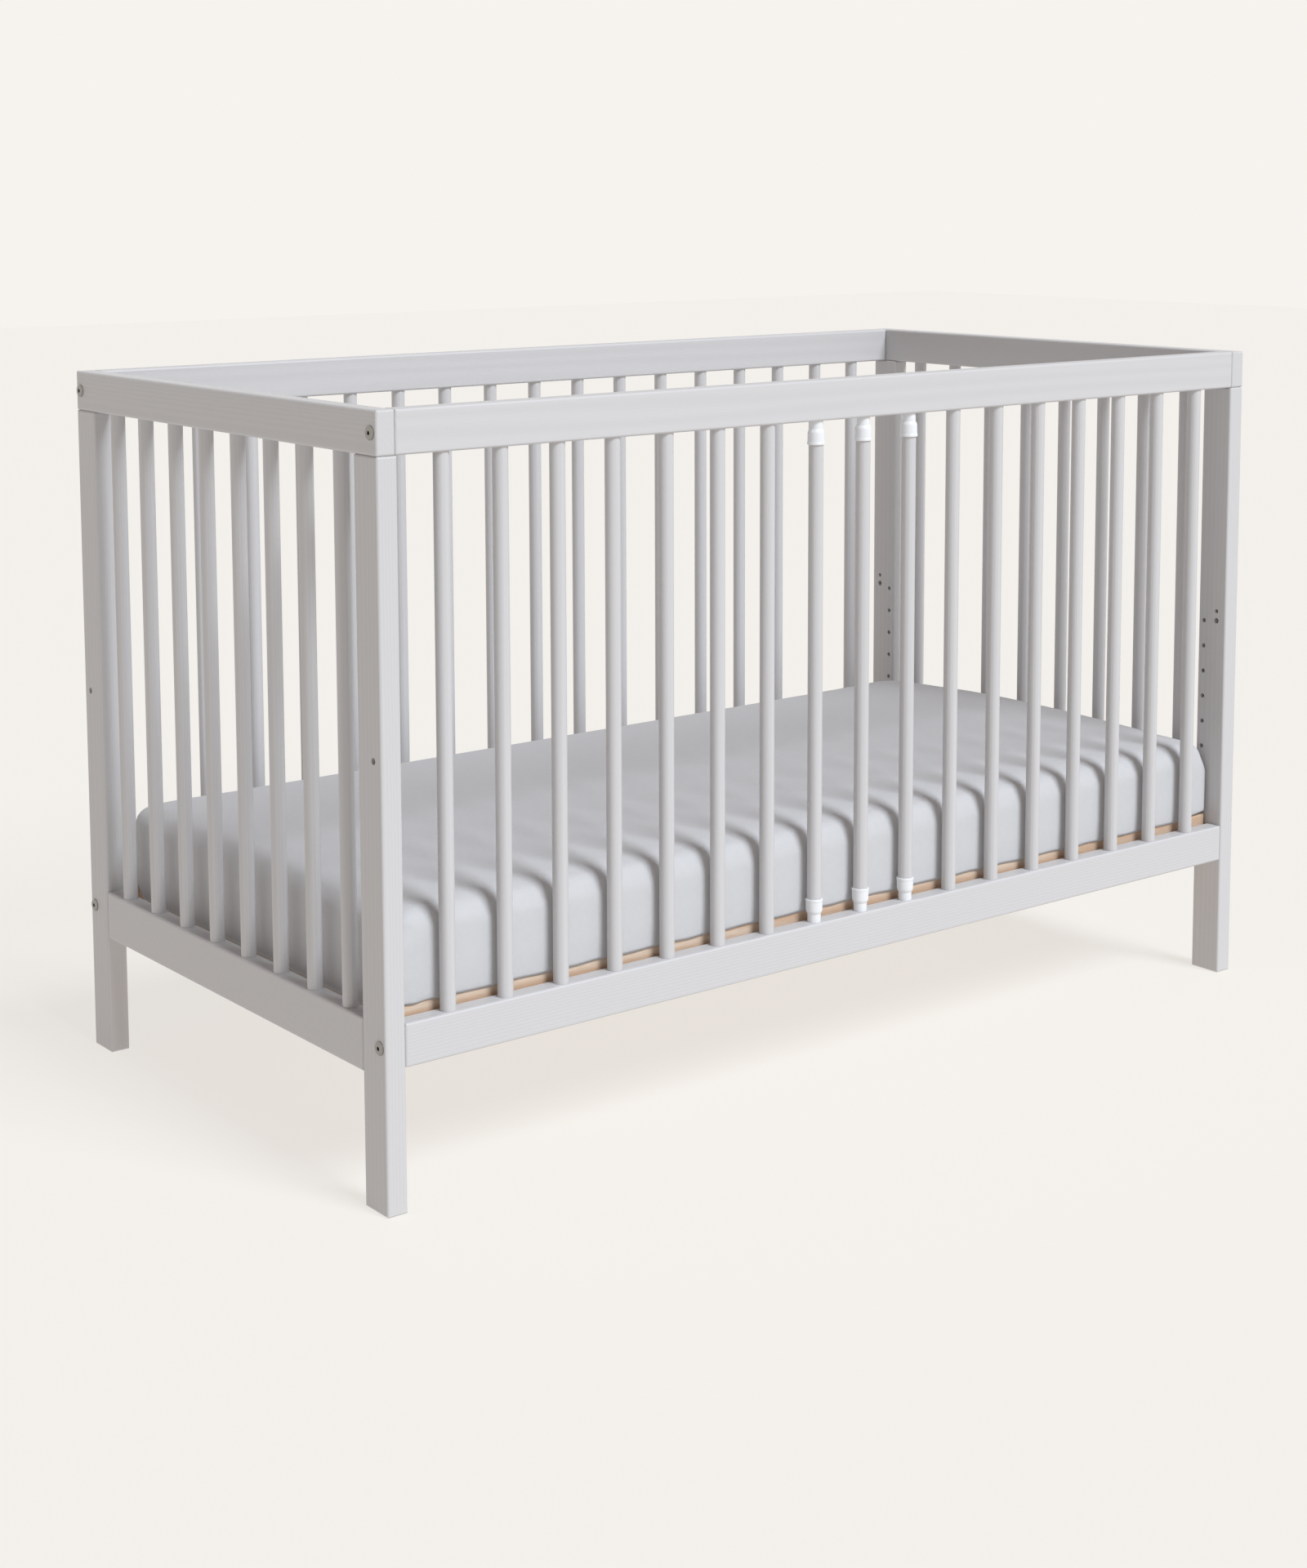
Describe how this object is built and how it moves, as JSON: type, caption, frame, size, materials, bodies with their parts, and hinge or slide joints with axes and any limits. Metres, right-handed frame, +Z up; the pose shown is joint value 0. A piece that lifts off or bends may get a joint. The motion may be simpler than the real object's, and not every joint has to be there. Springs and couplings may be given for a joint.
{
  "type": "baby crib",
  "caption": "Painted timber baby crib with round bars, spring-held removable bars, height-adjustable slatted base, mattress and fitted sheet.",
  "frame": {"origin": "on the floor, under the middle of the crib", "axes": "+X along the crib's length towards the right end, +Y from the front side with the removable bars to the rear side, +Z up"},
  "size_m": [1.254, 0.64, 0.785],
  "materials": {
    "painted_timber": "satin",
    "cap_plastic": "gloss",
    "nickel_plated_steel": "satin",
    "spring_steel": "satin",
    "zinc_plated_steel": "satin",
    "beech_dowel": "matte",
    "base_timber": "matte",
    "mattress_cover": "matte",
    "sheet_cotton": "matte"
  },
  "bodies": {
    "frame": {"leg_front_left": "painted_timber", "leg_front_right": "painted_timber", "leg_rear_left": "painted_timber", "leg_rear_right": "painted_timber", "end_top_rail_left": "painted_timber", "end_top_rail_right": "painted_timber", "end_lower_rail_left": "painted_timber", "end_lower_rail_right": "painted_timber", "end_bars_left": "painted_timber", "end_bars_right": "painted_timber", "front_top_rail": "painted_timber", "rear_top_rail": "painted_timber", "front_lower_rail": "painted_timber", "rear_lower_rail": "painted_timber", "front_fixed_bars": "painted_timber", "rear_bars": "painted_timber", "upper_joint_bolts": "nickel_plated_steel", "lower_joint_bolts": "nickel_plated_steel", "barrel_nuts": "zinc_plated_steel", "locating_dowels": "beech_dowel", "frame_dowels": "beech_dowel"},
    "base": {"base_side_rail_front": "base_timber", "base_side_rail_rear": "base_timber", "base_end_rail_left": "base_timber", "base_end_rail_right": "base_timber", "slat_1": "base_timber", "slat_2": "base_timber", "slat_3": "base_timber", "slat_4": "base_timber", "slat_5": "base_timber", "slat_6": "base_timber", "slat_7": "base_timber", "slat_8": "base_timber", "slat_9": "base_timber", "slat_10": "base_timber", "slat_11": "base_timber", "slat_12": "base_timber", "slat_screws": "zinc_plated_steel", "base_corner_screws": "zinc_plated_steel", "base_pins": "zinc_plated_steel"},
    "mattress": {"mattress": "mattress_cover", "fitted_sheet": "sheet_cotton"},
    "bar_1": {"removable_bar_1": "painted_timber", "top_cap_1": "cap_plastic", "bottom_cap_1": "cap_plastic", "cap_spring_1": "spring_steel"},
    "bar_2": {"removable_bar_2": "painted_timber", "top_cap_2": "cap_plastic", "bottom_cap_2": "cap_plastic", "cap_spring_2": "spring_steel"},
    "bar_3": {"removable_bar_3": "painted_timber", "top_cap_3": "cap_plastic", "bottom_cap_3": "cap_plastic", "cap_spring_3": "spring_steel"}
  },
  "joints": [
    {"name": "base_height", "type": "slide", "parent": "frame", "child": "base", "axis": [0, 0, 1], "range_m": [0, 0.192]},
    {"name": "mattress_lift", "type": "slide", "parent": "base", "child": "mattress", "axis": [0, 0, 1], "range_m": [0, 0.62]},
    {"name": "bar_lift_1", "type": "slide", "parent": "frame", "child": "bar_1", "axis": [0, 0, 1], "range_m": [0, 0.0085], "stiffness_N_per_m": 600, "springref_m": -0.012, "deforming": ["cap_spring_1"]},
    {"name": "bar_lift_2", "type": "slide", "parent": "frame", "child": "bar_2", "axis": [0, 0, 1], "range_m": [0, 0.0085], "stiffness_N_per_m": 600, "springref_m": -0.012, "deforming": ["cap_spring_2"]},
    {"name": "bar_lift_3", "type": "slide", "parent": "frame", "child": "bar_3", "axis": [0, 0, 1], "range_m": [0, 0.0085], "stiffness_N_per_m": 600, "springref_m": -0.012, "deforming": ["cap_spring_3"]}
  ]
}
